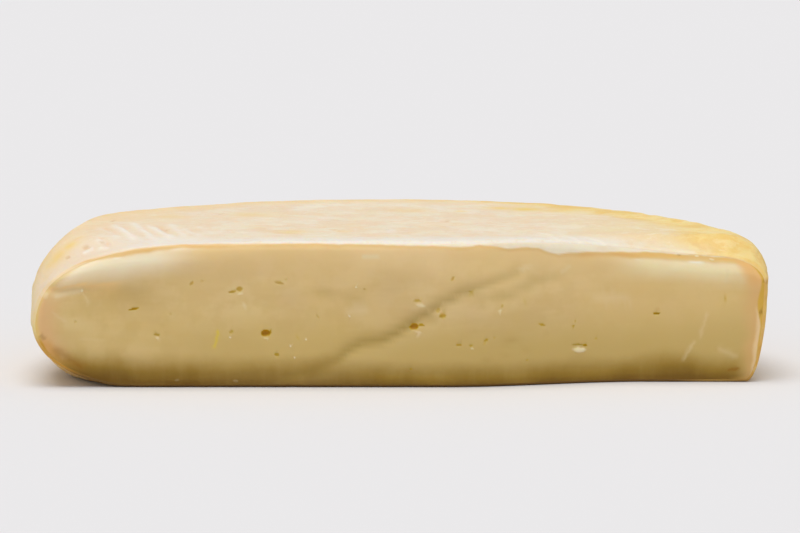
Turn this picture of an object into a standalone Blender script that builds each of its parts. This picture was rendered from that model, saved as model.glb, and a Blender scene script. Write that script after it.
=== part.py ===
"""Half of a washed-rind munster cheese, cut across the wheel and resting on its flat underside.

One solid in metres, +Z up. The cut face looks along -Y and the round rind closes the back.
The body is a box lattice bent to the shape by formula; small eyes, a crease and the
furrows of the rind are cut from it.
"""

import math

import bmesh
import bpy
import numpy as np
from mathutils import Vector

MM = 0.001

# the wheel and where it is cut
WHEEL_RADIUS = 93.6 * MM
CUT_OFFSET = 17.0 * MM          # the cut passes this far in front of the wheel's middle
HEIGHT = 36.9 * MM
BACK_RISE = -0.1 * MM           # the top climbs this much from the cut to the back
BACK_TILT = 0.5 * MM            # and leans by this much to the right over one wheel radius
BACK_RISE_REACH = 90.0 * MM

# section of the rind: width of the rounded shoulder above and of the foot below,
# and the height at which the rind is widest, far from the cut and at the cut
SHOULDER_FAR = {"left": 17.6 * MM, "back": 4.3 * MM, "right": 11.2 * MM}
FOOT_FAR = {"left": 13.8 * MM, "back": 11.5 * MM, "right": 18.0 * MM}
WIDEST_FAR = {"left": 20.0 * MM, "back": 23.2 * MM, "right": 25.1 * MM}
SHOULDER_AT_CUT = {"left": 33.4 * MM, "right": 12.0 * MM}
FOOT_AT_CUT = {"left": 25.6 * MM, "right": 4.6 * MM}
WIDEST_AT_CUT = {"left": 17.2 * MM, "right": 25.5 * MM}
CUT_FADE = {"left": 19.0 * MM, "right": 13.3 * MM}
FADE_SPAN = (-20.0 * MM, 20.0 * MM)     # the change from left to right measures along the cut
SECTION_SPAN = (-30.0 * MM, 30.0 * MM)

# the wheel's angles, in degrees from +X, where the rind is that of its right, back and left
RIND_ANGLES = (-20.0, 25.0, 60.0, 148.0, 177.0, 200.0)
RIND_SIDES = ("right", "right", "back", "back", "left", "left")

# softening of the cut edge and of the whole half
DROOP_RIGHT = 4.5 * MM
DROOP_RIGHT_SPAN = (28.0 * MM, 88.0 * MM)
DROOP_LEFT = 1.25 * MM
DROOP_LEFT_SPAN = (-20.0 * MM, -80.0 * MM)
SET_BACK = 9.2 * MM             # the right part of the cut face lies this far back
SET_BACK_SPAN = (12.0 * MM, 62.0 * MM)
SET_BACK_REACH = 60.0 * MM
LOBES = ((-0.08, 0.20, 0.0042), (2.60, 0.41, 0.036))   # angle, spread, share of the radius
EDGE_ROUND = 1.8 * MM           # rounding where the cut meets the rind
EDGE_REACH = 9.0 * MM
EDGE_SHARE = 0.4                # how much of the rounding the corner itself gives up

# waves of the cut face: x, z, half length, half height, depth into the cheese
WAVES = (
    (-82.0 * MM, 24.6 * MM, 15.0 * MM, 1.8 * MM, 1.2 * MM),
    (52.0 * MM, 23.8 * MM, 2.6 * MM, 2.0 * MM, 0.4 * MM),
    (-20.0 * MM, 17.0 * MM, 30.0 * MM, 9.0 * MM, 0.5 * MM),
    (24.0 * MM, 22.0 * MM, 12.0 * MM, 7.0 * MM, -0.5 * MM),
)
UNDERCUT = 0.9 * MM
UNDERCUT_AT = 3.2 * MM
UNDERCUT_SPREAD = 2.4 * MM
RELIEF_REACH = 26.0 * MM

# the roll of paste under the rind at both ends of the cut face
ROLL = 0.8 * MM
ROLL_AT = 3.0 * MM              # below the cut's top edge
ROLL_SPREAD = 1.7 * MM
ROLL_LEFT_SPAN = (-30.0 * MM, -60.0 * MM)
ROLL_RIGHT_SPAN = (40.0 * MM, 60.0 * MM)

# the crease across the cut face: x and z along it, and its half width and depth
CREASE = ((-28.5, 2.6), (-24.4, 3.8), (-19.2, 6.1), (-15.7, 8.4), (-12.0, 11.0), (-8.7, 12.5),
          (-3.5, 13.6), (0.2, 15.2), (3.0, 17.2), (6.5, 19.0), (9.2, 20.8), (12.9, 22.5),
          (15.4, 24.0), (18.6, 25.0), (24.0, 26.8), (28.9, 28.5))
CREASE_RADIUS = 1.5 * MM
CREASE_DEPTH = 0.45 * MM
CREASE_SIDES = 10
CREASE_TAPER = 0.12             # share of the crease's swell left off at each end

# eyes in the paste: x, z, half length, half height, depth (mm) and tilt (degrees)
EYES = (
    (-66.3, 19.9, 1.30, 0.50, 0.9, 20), (-60.5, 13.3, 0.95, 0.50, 0.8, 0),
    (-40.5, 24.7, 1.90, 0.70, 1.1, 22), (-51.8, 26.4, 0.80, 0.55, 0.7, 0),
    (-42.1, 14.3, 0.75, 0.60, 0.8, 0), (-33.5, 13.8, 1.25, 0.95, 1.5, 0),
    (-30.1, 26.4, 1.30, 0.55, 0.8, -18), (-30.6, 8.4, 0.75, 0.65, 0.8, 0),
    (4.0, 15.6, 1.60, 0.90, 1.6, 10), (10.4, 18.7, 1.30, 1.00, 1.0, 40),
    (4.3, 22.2, 1.10, 0.50, 0.8, 0), (13.2, 27.4, 0.60, 0.70, 0.8, 0),
    (17.4, 24.2, 0.75, 0.70, 0.8, 0), (14.7, 11.0, 1.10, 0.50, 0.8, 0),
    (21.4, 11.9, 0.90, 0.60, 0.8, 35), (35.6, 15.6, 1.15, 0.55, 0.8, -20),
    (45.1, 10.1, 1.90, 0.50, 1.0, 0), (64.4, 17.7, 0.95, 0.60, 1.2, 0),
)

# furrows side by side on the left end of the top rind, left by the rack it ripened on
FURROWS = 5
FURROW_START = (-70.0 * MM, 7.0 * MM)   # the first one's front end
FURROW_RUN = (-8.6 * MM, 28.0 * MM)     # from a furrow's front end to its back end
FURROW_PITCH = 4.8 * MM
FURROW_DEPTH = 0.4 * MM
FURROW_RADIUS = 2.2 * MM
FURROW_SIDES = 12
FURROW_STEPS = 7
FURROW_TAPER = 0.10

# lattice: spaces along x, y and z, and how strongly they crowd towards the ends
SPACES = (66, 20, 16)
CROWDING = (0.55, 0.80, 0.75)
PROFILE_ANGLE = math.radians(45.0)      # share of the shoulder and foot on the rind's side
FLAT = 0.00001                  # below this height the underside counts as flat

# the flat that the cheese rests on, and how little the underside rises around it
REST_CORNERS = ((-64.0, 14.0), (62.0, 14.0), (34.0, 87.0), (-34.0, 87.0))
REST_RISE = math.radians(0.35)


def smooth(start, end, value):
    """Rise smoothly from 0 at start to 1 at end."""
    t = np.clip((value - start) / (end - start), 0.0, 1.0)
    return t * t * (3.0 - 2.0 * t)


def near_cut(x, y):
    """1 on the cut face, falling to 0 a little way behind it."""
    right = smooth(*FADE_SPAN, x)
    reach = CUT_FADE["left"] * (1.0 - right) + CUT_FADE["right"] * right
    return 1.0 - smooth(0.0, 1.0, y / reach)


def section(x, y, far, at_cut):
    """Blend one measure of the rind's section round the wheel and towards the cut."""
    angle = np.degrees(np.arctan2(y - CUT_OFFSET, x))
    angle = np.where(angle < -90.0, angle + 360.0, angle)
    away = np.interp(angle, RIND_ANGLES, [far[side] for side in RIND_SIDES])
    right = smooth(*SECTION_SPAN, x)
    here = at_cut["left"] * (1.0 - right) + at_cut["right"] * right
    share = near_cut(x, y)
    return away * (1.0 - share) + here * share


def top_height(x, y):
    droop = DROOP_RIGHT * smooth(*DROOP_RIGHT_SPAN, x) + DROOP_LEFT * smooth(*DROOP_LEFT_SPAN, x)
    rise = BACK_RISE - BACK_TILT * x / WHEEL_RADIUS
    return HEIGHT - near_cut(x, y) * droop + rise * smooth(0.0, BACK_RISE_REACH, y)


def plan(radius, a, b):
    """Place the unit square (a from -1 to 1, b from 0 to 1) on a circle cut by a chord."""
    deep = radius + CUT_OFFSET
    y = deep * b * np.sqrt(1.0 - a * a / 2.0)
    x = a * np.sqrt(1.0 - b * b / 2.0) * deep * np.sqrt((radius - CUT_OFFSET + y) / (deep + y))
    return x, y


def rind(a, b, c):
    """Position on the rind for lattice values a, b and c, with the heights of top and bottom."""
    turn = PROFILE_ANGLE * (2.0 * c - 1.0)
    x, y = plan(WHEEL_RADIUS + 0.0 * a, a, b)
    shoulder = section(x, y, SHOULDER_FAR, SHOULDER_AT_CUT)
    foot = section(x, y, FOOT_FAR, FOOT_AT_CUT)
    widest = section(x, y, WIDEST_FAR, WIDEST_AT_CUT)
    inset = np.where(turn >= 0.0, shoulder, foot) * (1.0 - np.cos(turn))
    x, y = plan(WHEEL_RADIUS - inset, a, b)
    height = top_height(x, y)
    out = np.hypot(x, y - CUT_OFFSET) - WHEEL_RADIUS
    above = np.sqrt(1.0 - np.clip(out / shoulder + 1.0, 0.0, 1.0) ** 2)
    below = np.sqrt(1.0 - np.clip(out / foot + 1.0, 0.0, 1.0) ** 2)
    top = widest + (height - widest) * above
    bottom = widest - widest * below
    side = widest + np.where(turn >= 0.0, height - widest, widest) * np.sin(turn)
    return x, y, top, bottom, side


def relief(x, z):
    """Depth of the cut face's waves and undercut at x and z."""
    depth = np.zeros_like(x)
    for wave_x, wave_z, long, high, amount in WAVES:
        depth += amount * np.exp(-((x - wave_x) / long) ** 2 - ((z - wave_z) / high) ** 2)
    depth += UNDERCUT * np.exp(-((z - UNDERCUT_AT) / UNDERCUT_SPREAD) ** 2)
    return depth


def roll(x, below_top):
    """Height of the roll under the rind at x and at a depth below the cut's top edge."""
    ends = smooth(*ROLL_LEFT_SPAN, x) + smooth(*ROLL_RIGHT_SPAN, x)
    return ROLL * ends * np.exp(-((below_top - ROLL_AT) / ROLL_SPREAD) ** 2)


def shape(a, b, c):
    """Place lattice points of the cheese: a left to right, b front to back, c bottom to top."""
    ones = np.ones_like(a)
    x, y, top, bottom, side = rind(a, b, c)
    z = np.where(c >= 1.0, top, np.where(c <= 0.0, bottom, side))

    # the cut face is filled between its own top and bottom edges
    _, _, upper, _, _ = rind(a, 0.0 * a, ones)
    _, _, _, lower, _ = rind(a, 0.0 * a, 0.0 * a)
    fractions = []
    for end in (-ones, ones):
        heights = [rind(end, 0.0 * a, level)[4] for level in (0.0 * a, c, ones)]
        fractions.append((heights[1] - heights[0]) / (heights[2] - heights[0]))
    fraction = fractions[0] * (1.0 - a) / 2.0 + fractions[1] * (1.0 + a) / 2.0
    on_cut = b <= 0.0
    z = np.where(on_cut, lower + (upper - lower) * fraction, z)

    # round the edge between cut and rind: the section shrinks towards the cut
    edge = np.clip(1.0 - y / EDGE_ROUND, 0.0, 1.0) ** 2 * EDGE_SHARE * EDGE_ROUND
    half = HEIGHT / 2.0
    x = x * (1.0 - edge / WHEEL_RADIUS)
    z = half + (z - half) * (1.0 - edge / half)
    left = rind(-ones, 0.0 * a, c)[0]
    right = rind(ones, 0.0 * a, c)[0]
    inside = np.minimum(np.minimum(upper - z, z - lower), np.minimum(x - left, right - x))
    inside = np.where(on_cut, np.maximum(inside - EDGE_SHARE * EDGE_ROUND, 0.0), 0.0)
    give = np.clip(1.0 - inside / EDGE_ROUND, 0.0, 1.0) ** 2 * EDGE_SHARE * EDGE_ROUND
    deeper = give * np.clip(1.0 - y / EDGE_REACH, 0.0, 1.0) ** 2
    carved = relief(x, z) - roll(x, np.maximum(upper - z, 0.0))
    deeper += carved * np.clip(1.0 - y / RELIEF_REACH, 0.0, 1.0) ** 2

    # bulges of the plan, then the set-back right part of the cut
    angle = np.arctan2(y - CUT_OFFSET, x)
    angle = np.where(angle < -math.pi / 2.0, angle + 2.0 * math.pi, angle)
    scale = 1.0 + sum(size * np.exp(-((angle - at) / spread) ** 2) for at, spread, size in LOBES)
    x = x * scale
    y = y * scale + deeper
    y = y + SET_BACK * smooth(*SET_BACK_SPAN, x) * np.clip(1.0 - y / SET_BACK_REACH, 0.0, 1.0) ** 2
    return x, y, z


def crowd(value, strength):
    """Crowd evenly spaced values between 0 and 1 towards both ends."""
    return value - strength * np.sin(2.0 * math.pi * value) / (2.0 * math.pi)


def trim_underside(bm):
    """Leave one four-cornered flat to rest on, with the underside rising gently around it."""
    corners = [Vector((x * MM, y * MM, 0.0)) for x, y in REST_CORNERS]
    for start, end in zip(corners, corners[1:] + corners[:1]):
        along = (end - start).normalized()
        out = Vector((along.y, -along.x, 0.0))
        down = out * math.sin(REST_RISE) - Vector((0.0, 0.0, math.cos(REST_RISE)))
        cut = bmesh.ops.bisect_plane(bm, geom=bm.verts[:] + bm.edges[:] + bm.faces[:],
                                     dist=FLAT / 10.0, plane_co=start, plane_no=down,
                                     clear_outer=True)
        loop = [e for e in cut["geom_cut"] if isinstance(e, bmesh.types.BMEdge)]
        bmesh.ops.edgeloop_fill(bm, edges=loop)
    flat = [f for f in bm.faces if max(v.co.z for v in f.verts) < FLAT]
    bmesh.ops.dissolve_faces(bm, faces=flat, use_verts=False)
    between = [v for v in bm.verts if len(v.link_edges) == 2]
    bmesh.ops.dissolve_verts(bm, verts=between)


def make_body():
    """A closed box lattice bent into the half wheel."""
    bm = bmesh.new()
    bmesh.ops.create_cube(bm, size=1.0)
    for axis, count in enumerate(SPACES):
        along = []
        for edge in bm.edges:
            span = edge.verts[0].co - edge.verts[1].co
            if abs(span[axis]) > 0.5:
                along.append(edge)
        bmesh.ops.subdivide_edges(bm, edges=along, cuts=count - 1, use_grid_fill=True)
    unit = np.array([v.co[:] for v in bm.verts]) + 0.5
    unit = np.round(unit * SPACES) / SPACES
    a, b, c = (crowd(unit[:, axis], CROWDING[axis]) for axis in range(3))
    for v, x, y, z in zip(bm.verts, *shape(2.0 * a - 1.0, b, c)):
        v.co = (x, y, z)
    trim_underside(bm)
    bmesh.ops.recalc_face_normals(bm, faces=bm.faces)
    return bm


def new_object(name, bm):
    mesh = bpy.data.meshes.new(name)
    bm.to_mesh(mesh)
    bm.free()
    obj = bpy.data.objects.new(name, mesh)
    bpy.context.scene.collection.objects.link(obj)
    return obj


def cut_depth(x, z):
    """Y of the finished cut face at x and z, away from its edges."""
    x = np.array([x])
    z = np.array([z])
    return float((relief(x, z) + SET_BACK * smooth(*SET_BACK_SPAN, x))[0])


def eye_cutter(index, x, z, long, high, deep, tilt):
    """A squashed ball sunk into the cut face."""
    bm = bmesh.new()
    bmesh.ops.create_icosphere(bm, subdivisions=2, radius=1.0)
    turn = math.radians(tilt)
    y = cut_depth(x * MM, z * MM)
    for v in bm.verts:
        along, up = v.co.x * long, v.co.z * high
        v.co = Vector((x + along * math.cos(turn) - up * math.sin(turn),
                       v.co.y * deep,
                       z + along * math.sin(turn) + up * math.cos(turn))) * MM
        v.co.y += y
    return new_object(f"eye_{index}", bm)


def tube_cutter(name, path, radii, sides):
    """A closed tube along the points of a path, for cutting a rounded groove."""
    bm = bmesh.new()
    rings = []
    for i, centre in enumerate(path):
        before = path[max(i - 1, 0)]
        after = path[min(i + 1, len(path) - 1)]
        forward = (after - before).normalized()
        across = forward.orthogonal().normalized()
        other = forward.cross(across)
        ring = bmesh.ops.create_circle(bm, segments=sides, radius=1.0)["verts"]
        for k, v in enumerate(ring):
            turn = 2.0 * math.pi * k / sides
            v.co = centre + radii[i] * (across * math.cos(turn) + other * math.sin(turn))
        if rings:
            # start each ring beside the nearest point of the last one
            first = rings[-1][0].co
            start = min(range(sides), key=lambda k: (ring[k].co - first).length)
            ring = ring[start:] + ring[:start]
            if (ring[1].co - rings[-1][1].co).length > (ring[-1].co - rings[-1][1].co).length:
                ring = [ring[0]] + ring[:0:-1]
            for k in range(sides):
                n = (k + 1) % sides
                bm.faces.new((rings[-1][k], rings[-1][n], ring[n], ring[k]))
        rings.append(ring)
    bm.faces.new(rings[0])
    bm.faces.new(rings[-1])
    bmesh.ops.recalc_face_normals(bm, faces=bm.faces)
    return new_object(name, bm)


def swell_along(share, taper):
    """Strength of a groove at a share of its length: fullest in the middle, faint at the ends."""
    return math.sin(math.pi * (taper + (1.0 - 2.0 * taper) * share))


def crease_cutter():
    """A tube that follows the cut face and sinks in by the crease's depth."""
    path, radii = [], []
    last = len(CREASE) - 1
    for i, (x, z) in enumerate(CREASE):
        swell = swell_along(i / last, CREASE_TAPER)
        radius = CREASE_RADIUS * (1.0 + swell) / 2.0
        y = cut_depth(x * MM, z * MM) + CREASE_DEPTH * swell - radius
        path.append(Vector((x * MM, y, z * MM)))
        radii.append(radius)
    return tube_cutter("crease", path, radii, CREASE_SIDES)


def top_surface(x, y):
    """Height of the finished top rind above a point of the plan."""
    x = np.array([x])
    y = np.array([y])
    shoulder = section(x, y, SHOULDER_FAR, SHOULDER_AT_CUT)
    widest = section(x, y, WIDEST_FAR, WIDEST_AT_CUT)
    out = np.hypot(x, y - CUT_OFFSET) - WHEEL_RADIUS
    above = np.sqrt(1.0 - np.clip(out / shoulder + 1.0, 0.0, 1.0) ** 2)
    return float((widest + (top_height(x, y) - widest) * above)[0])


def furrow_cutter(index):
    """A tube that follows the top rind and leaves a shallow furrow."""
    path, radii = [], []
    for i in range(FURROW_STEPS):
        share = i / (FURROW_STEPS - 1)
        x = FURROW_START[0] + index * FURROW_PITCH + share * FURROW_RUN[0]
        y = FURROW_START[1] + share * FURROW_RUN[1]
        depth = FURROW_DEPTH * swell_along(share, FURROW_TAPER)
        path.append(Vector((x, y, top_surface(x, y) - depth + FURROW_RADIUS)))
        radii.append(FURROW_RADIUS)
    return tube_cutter(f"furrow_{index}", path, radii, FURROW_SIDES)


def cut_away(body, cutter):
    cutter.hide_render = True
    cutter.display_type = "WIRE"
    modifier = body.modifiers.new(cutter.name, "BOOLEAN")
    modifier.operation = "DIFFERENCE"
    modifier.solver = "EXACT"
    modifier.object = cutter


def place_on_origin(body, cutters):
    """Bring the middle of the footprint to the origin, with the cutters still in the body."""
    spots = np.array([v.co[:] for v in body.data.vertices])
    low, high = spots.min(axis=0), spots.max(axis=0)
    middle = (low + high) / 2.0
    for obj in (body, *cutters):
        obj.location = (-middle[0], -middle[1], -low[2])


def make_material():
    material = bpy.data.materials.new("cheese_paste")
    material.use_nodes = True
    shader = material.node_tree.nodes["Principled BSDF"]
    shader.inputs["Base Color"].default_value = (0.72, 0.55, 0.25, 1.0)
    shader.inputs["Roughness"].default_value = 0.5
    shader.inputs["Metallic"].default_value = 0.0
    return material


def main():
    for obj in list(bpy.data.objects):
        bpy.data.objects.remove(obj)
    body = new_object("cheese", make_body())
    cutters = [eye_cutter(i, *eye) for i, eye in enumerate(EYES)]
    cutters.append(crease_cutter())
    cutters += [furrow_cutter(i) for i in range(FURROWS)]
    for cutter in cutters:
        cut_away(body, cutter)
    place_on_origin(body, cutters)
    body.data.shade_smooth()
    body.data.materials.append(make_material())


main()
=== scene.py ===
"""Half a munster cheese: moist paste on the cut and washed rind round the rest, in soft studio light."""

import math

import bmesh
import bpy
import numpy as np
from mathutils import Matrix, Vector, noise


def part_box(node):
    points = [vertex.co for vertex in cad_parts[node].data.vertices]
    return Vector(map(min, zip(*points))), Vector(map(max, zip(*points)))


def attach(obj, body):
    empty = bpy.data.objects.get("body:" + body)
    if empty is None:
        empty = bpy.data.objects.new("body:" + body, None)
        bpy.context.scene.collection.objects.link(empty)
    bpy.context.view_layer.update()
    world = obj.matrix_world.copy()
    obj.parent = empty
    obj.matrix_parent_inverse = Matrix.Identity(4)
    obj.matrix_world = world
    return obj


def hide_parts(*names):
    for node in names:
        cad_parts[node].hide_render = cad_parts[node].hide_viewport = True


MM = 0.001

# ---------------------------------------------------------------- form of the cheese

# the wheel and where it is cut
WHEEL_RADIUS = 93.6 * MM
CUT_OFFSET = 17.0 * MM          # the cut passes this far in front of the wheel's middle
HEIGHT = 36.9 * MM
BACK_RISE = -0.1 * MM           # the top climbs this much from the cut to the back
BACK_TILT = 0.5 * MM            # and leans by this much to the right over one wheel radius
BACK_RISE_REACH = 90.0 * MM

# section of the rind: width of the shoulder above and of the foot below, and the height
# at which the rind is widest, far from the cut and at the cut
SHOULDER_FAR = {"left": 17.6 * MM, "back": 4.3 * MM, "right": 11.2 * MM}
FOOT_FAR = {"left": 13.8 * MM, "back": 11.5 * MM, "right": 18.0 * MM}
WIDEST_FAR = {"left": 20.0 * MM, "back": 23.2 * MM, "right": 25.1 * MM}
SHOULDER_AT_CUT = {"left": 33.4 * MM, "right": 12.0 * MM}
FOOT_AT_CUT = {"left": 25.6 * MM, "right": 4.6 * MM}
WIDEST_AT_CUT = {"left": 17.2 * MM, "right": 25.5 * MM}
CUT_FADE = {"left": 19.0 * MM, "right": 13.3 * MM}
FADE_SPAN = (-20.0 * MM, 20.0 * MM)     # the change from left to right measures along the cut
SECTION_SPAN = (-30.0 * MM, 30.0 * MM)

# the wheel's angles, in degrees from +X, where the rind is that of its right, back and left
RIND_ANGLES = (-20.0, 25.0, 60.0, 148.0, 177.0, 200.0)
RIND_SIDES = ("right", "right", "back", "back", "left", "left")

# softening of the cut edge and of the whole half
DROOP_RIGHT = 4.5 * MM
DROOP_RIGHT_SPAN = (28.0 * MM, 88.0 * MM)
DROOP_LEFT = 1.25 * MM
DROOP_LEFT_SPAN = (-20.0 * MM, -80.0 * MM)
SET_BACK = 9.2 * MM             # the right part of the cut face lies this far back
SET_BACK_SPAN = (12.0 * MM, 62.0 * MM)
SET_BACK_REACH = 60.0 * MM
LOBES = ((-0.08, 0.2, 0.0042), (2.6, 0.41, 0.036))  # angle, spread, share of the radius
EDGE_ROUND = 1.8 * MM           # rounding where the cut meets the rind
EDGE_REACH = 9.0 * MM
EDGE_SHARE = 0.4                # how much of the rounding the corner itself gives up

# waves of the cut face: x, z, half length, half height, depth into the cheese
WAVES = (
    (-82.0 * MM, 25.1 * MM, 15.0 * MM, 1.6 * MM, 1.1 * MM),
    (52.0 * MM, 23.8 * MM, 2.6 * MM, 2.0 * MM, 0.4 * MM),
    (-20.0 * MM, 17.0 * MM, 30.0 * MM, 9.0 * MM, 0.5 * MM),
    (24.0 * MM, 22.0 * MM, 12.0 * MM, 7.0 * MM, -0.5 * MM),
)
UNDERCUT = 0.9 * MM
UNDERCUT_AT = 3.2 * MM
UNDERCUT_SPREAD = 2.4 * MM
UNDERCUT_END = (72.0 * MM, 88.0 * MM)   # it fades out here at the right
RELIEF_REACH = 26.0 * MM

# the roll of paste under the rind at both ends of the cut face
ROLL = 0.8 * MM
ROLL_AT = 4.4 * MM              # below the cut's top edge
ROLL_SPREAD = 2.2 * MM
ROLL_LEFT_SPAN = (-30.0 * MM, -60.0 * MM)
ROLL_RIGHT_SPAN = (40.0 * MM, 60.0 * MM)

# where the left end is pressed flat: height, spread up and down, amount, reach inwards and back
PRESS = (20.5 * MM, 6.0 * MM, 1.1 * MM, 16.0 * MM, 30.0 * MM)

# small nicks along the bottom edge of the cut: depth, length, how high up and how far back they go
NICK = 0.35 * MM
NICK_SIZE = 3.5 * MM
NICK_HEIGHT = 3.0 * MM
NICK_REACH = 8.0 * MM

# ---------------------------------------------------------------- marks on the cut face, in mm

# the crease, its faint branch and the hollow under the left roll: x and z along each
CREASE = ((-28.5, 2.2), (-24.4, 3.4), (-19.2, 5.6), (-15.7, 7.0), (-12.6, 9.6), (-9.6, 11.2),
          (-4.9, 11.8), (-1.6, 13.3), (0.6, 14.7), (3.4, 16.7), (6.5, 18.6), (9.2, 20.5),
          (12.9, 22.5), (15.4, 24.0), (18.6, 25.0), (24.0, 26.8), (28.9, 28.5))
BRANCH = ((20.7, 22.1), (27.7, 23.2), (33.9, 26.3), (40.5, 27.6))
HOLLOW = ((-92.0, 25.8), (-88.3, 25.7), (-85.1, 24.7), (-79.4, 26.0), (-75.4, 25.8), (-70.6, 26.2),
          (-67.0, 27.0))
CREASE_DEPTH = 0.5
CREASE_ABOVE = 1.7              # how far it spreads above its line
CREASE_BELOW = 1.0              # and below it
BRANCH_DEPTH = 0.16
HOLLOW_DEPTH = 0.16

# how far the white lip of the rind hangs over the top edge of the cut: x and reach; then how
# unevenly it does, as the size and amount of its coarse and fine waves
LIP = ((-90.0, -0.7), (-80.0, -0.9), (-74.0, -0.5), (-69.0, -0.2), (-62.0, -0.4), (-54.0, -0.9),
       (-44.0, -0.5), (-25.0, -0.2), (-12.0, 0.1), (0.0, 0.3), (17.5, 0.7), (19.5, 0.4), (23.0, 0.7),
       (27.0, 1.2), (32.0, 1.1), (34.5, 1.3), (37.0, 2.1), (39.6, 2.7), (42.7, 2.1), (47.0, 1.8),
       (51.0, 1.4), (57.0, 0.8), (62.0, 0.3), (68.0, 0.1), (74.0, 0.0), (79.0, 0.0), (84.0, -0.2),
       (90.0, -0.3))
LIP_WAVES = ((5.0 * MM, 0.22, 5), (1.9 * MM, 0.14, 11))  # with the seed of each

# the pale rolls under the lip, their paleness partly painted highlight: how far down they reach, and how far
# they keep their full strength
PILLOW_REACH = 8.2
PILLOW_FULL = 1.8
LEFT_ROLL_END = (-63.0, -46.0)
RIGHT_ROLL_START = (48.0, 66.0)
FAR_RIGHT = (62.0, 70.0)

# where the line under the lip shows: it comes in over the first two x and goes over the last two
LINE_SPANS = ((-84.0, -77.0, -50.0, -38.0), (38.0, 46.0, 82.0, 88.0))

# eyes: x, z, half length, half height, depth, tilt in degrees, and how dark they are inside, as amber stain
# and painted shade
EYES = (
    (-66.3, 19.9, 1.45, 0.28, 0.7, 15, 0.9), (-60.5, 13.5, 0.85, 0.38, 0.7, 0, 0.45),
    (-41.7, 24.2, 1.05, 0.42, 0.7, 12, 0.5), (-39.9, 24.9, 0.9, 0.62, 0.7, 20, 0.45),
    (-51.8, 26.4, 0.75, 0.4, 0.6, 50, 0.35), (-42.0, 14.1, 0.65, 0.42, 0.6, 20, 0.4),
    (-33.5, 13.8, 1.25, 0.82, 1.4, 10, 1.0), (-30.0, 26.4, 1.3, 0.45, 0.7, -16, 0.35),
    (-30.7, 8.4, 0.6, 0.48, 0.6, 0, 0.48), (3.5, 15.4, 1.15, 0.8, 1.5, 5, 1.0),
    (5.3, 15.8, 0.85, 0.4, 0.8, -8, 0.6), (9.5, 19.5, 0.6, 0.8, 0.5, -25, 0.34),
    (10.6, 18.1, 0.95, 0.64, 0.8, 10, 0.5), (4.4, 22.0, 1.1, 0.32, 0.6, 0, 0.4),
    (13.1, 27.5, 0.75, 0.36, 0.4, 50, 0.38), (17.5, 24.0, 0.55, 0.48, 0.6, 0, 0.5),
    (14.7, 10.9, 0.9, 0.34, 0.6, 0, 0.46), (21.4, 11.9, 0.75, 0.36, 0.6, 30, 0.5),
    (35.5, 15.4, 1.1, 0.36, 0.6, -20, 0.5), (44.6, 10.0, 1.7, 0.3, 0.9, 0, 0.45),
    (46.5, 9.8, 0.55, 0.36, 0.8, 0, 0.7), (64.6, 17.6, 0.85, 0.36, 1.0, 0, 1.0),
    (-57.2, 18.7, 0.45, 0.35, 0.3, 0, 0.2), (-49.2, 26.9, 0.5, 0.35, 0.3, 0, 0.2),
    (-28.3, 27.3, 0.35, 0.3, 0.3, 0, 0.25), (-25.4, 12.6, 0.35, 0.3, 0.4, 0, 0.35),
    (-20.5, 18.1, 0.7, 0.25, 0.4, -60, 0.25), (-8.8, 24.8, 0.35, 0.3, 0.4, 0, 0.35),
    (2.7, 4.7, 0.4, 0.32, 0.4, 0, 0.4), (17.7, 10.7, 0.55, 0.34, 0.5, 0, 0.4),
    (23.6, 12.5, 0.45, 0.3, 0.3, 0, 0.25), (25.4, 20.4, 0.4, 0.55, 0.4, -20, 0.35),
    (31.4, 21.3, 0.42, 0.22, 0.5, 0, 0.55), (43.4, 14.8, 0.5, 0.34, 0.5, 0, 0.5),
    (43.9, 15.9, 0.3, 0.28, 0.4, 0, 0.4), (49.2, 11.4, 0.45, 0.28, 0.3, 0, 0.3),
    (81.9, 21.3, 0.35, 0.4, 0.4, 0, 0.35), (-80.8, 16.7, 0.4, 0.35, 0.3, 0, 0.25),
    (31.8, 6.6, 0.4, 0.32, 0.3, 0, 0.3),
)
EYE_DEPTH = 0.5                 # share of those depths that is cut
EYE_WARP = 0.24                 # how far the rims wander, as a share of the eye's size
EYE_WARP_SIZE = 0.9             # and over what length

# broad shallow dimples, not open, darkened with painted shade: x, z, half length, half height, depth and
# tilt
DIMPLES = (
    (27.5, 11.3, 2.4, 0.9, 0.38, 12), (21.4, 6.8, 1.4, 0.6, 0.26, 8), (26.0, 7.7, 1.3, 0.5, 0.26, 8),
    (31.0, 9.6, 1.6, 0.6, 0.22, -25), (17.6, 13.6, 2.0, 0.7, 0.16, 20),
    (-18.4, 23.9, 3.6, 1.5, 0.32, -10), (-10.8, 21.9, 3.4, 1.4, 0.3, -20),
    (7.6, 16.8, 2.0, 0.9, 0.34, 20), (-2.0, 25.5, 9.0, 3.6, 0.2, 0), (36.6, 13.4, 0.8, 0.5, 0.15, -50),
    (-68.0, 23.4, 8.5, 2.7, 0.45, -6), (52.2, 23.8, 2.2, 1.8, 0.12, 0),
)
# a dimple as deep as DIMPLE_FULL gets its full painted shade
DIMPLE_FULL = 0.45              # a dimple this deep has its full colour
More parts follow.
